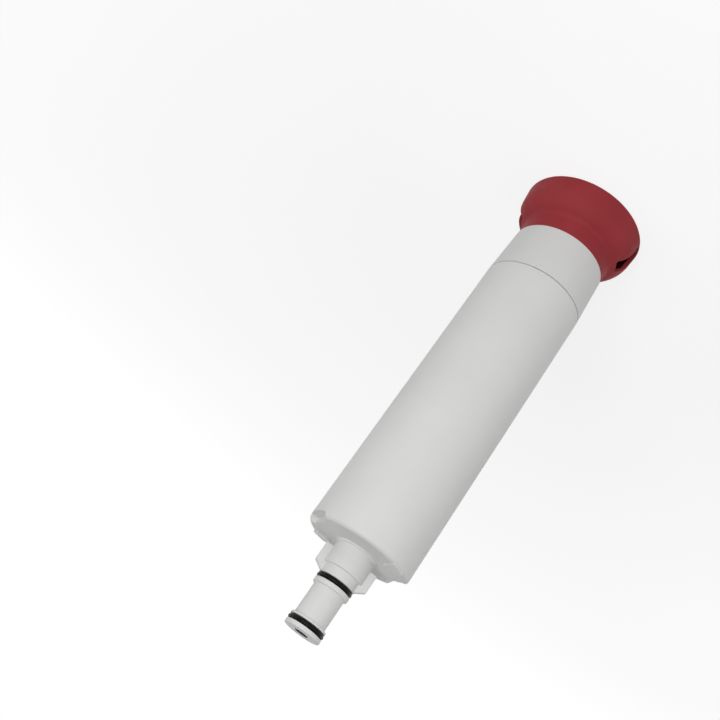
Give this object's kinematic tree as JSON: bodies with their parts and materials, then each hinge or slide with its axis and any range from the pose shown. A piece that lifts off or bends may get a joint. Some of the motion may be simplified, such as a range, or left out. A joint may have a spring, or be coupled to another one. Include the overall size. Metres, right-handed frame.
{
  "type": "water purifier filter cartridge",
  "caption": "Cylindrical water filter cartridge with a flared turning cap, a welded closure, a carbon block inside and a ring-sealed stepped nozzle.",
  "frame": {"origin": "centre of the turning cap's rim, on the surface it stands on", "axes": "+Z along the cartridge from the turning cap to the nozzle's tip; +X through the nozzle's locking ears"},
  "size_m": [0.0758, 0.0758, 0.2956],
  "materials": {
    "white_polypropylene": "satin injection-moulded white",
    "closure_polypropylene": "satin injection-moulded white",
    "burgundy_polypropylene": "satin injection-moulded burgundy",
    "ring_rubber": "greased black rubber",
    "pressed_carbon": "matt pressed activated carbon",
    "sediment_fleece": "white non-woven fleece",
    "element_cap_plastic": "natural moulded plastic"
  },
  "bodies": {
    "root": {"housing": "white_polypropylene", "end_closure": "closure_polypropylene", "turning_cap": "burgundy_polypropylene", "upper_o_ring": "ring_rubber", "lower_o_ring": "ring_rubber", "carbon_block": "pressed_carbon", "sediment_wrap": "sediment_fleece", "closed_end_cap": "element_cap_plastic", "outlet_end_cap": "element_cap_plastic", "outlet_seal": "ring_rubber"}
  },
  "joints": []
}
